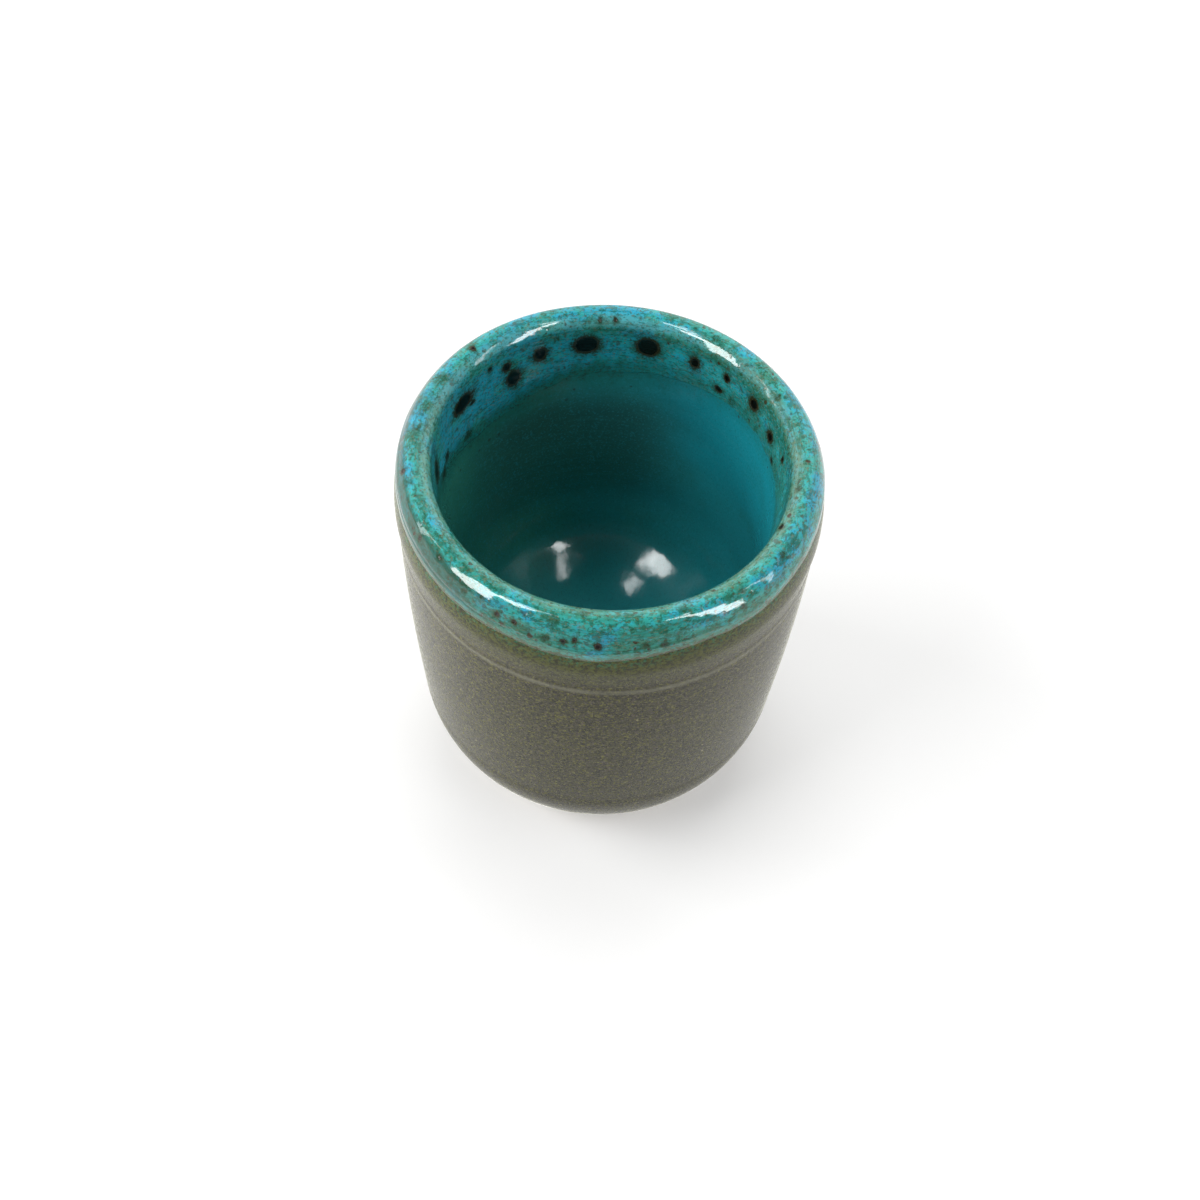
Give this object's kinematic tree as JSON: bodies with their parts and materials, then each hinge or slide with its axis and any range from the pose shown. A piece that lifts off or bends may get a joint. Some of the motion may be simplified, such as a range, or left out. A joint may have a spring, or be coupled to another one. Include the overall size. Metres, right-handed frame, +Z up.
{
  "type": "stoneware shot cup",
  "caption": "Small thick-walled stoneware shot cup with a rounded bottom, satin outer glaze, glossy liner and a mottled glaze dip over the rolled lip.",
  "frame": {"origin": "centre of the foot, on the surface that the cup stands on", "axes": "+Z up along the cup's axis, out of the mouth; -Y is the side that faces the viewer; the rim coat reaches deepest inside towards -X and least towards +X"},
  "size_m": [0.0498, 0.0498, 0.0535],
  "materials": {
    "stoneware": "matt unglazed clay",
    "satin_glaze": "satin, finely speckled grey-brown to olive",
    "teal_glaze": "glossy, smooth teal",
    "turquoise_glaze": "glossy, mottled turquoise with iron spots"
  },
  "bodies": {
    "root": {"stoneware_body": "stoneware", "outer_glaze": "satin_glaze", "liner_glaze": "teal_glaze", "rim_glaze": "turquoise_glaze"}
  },
  "joints": []
}
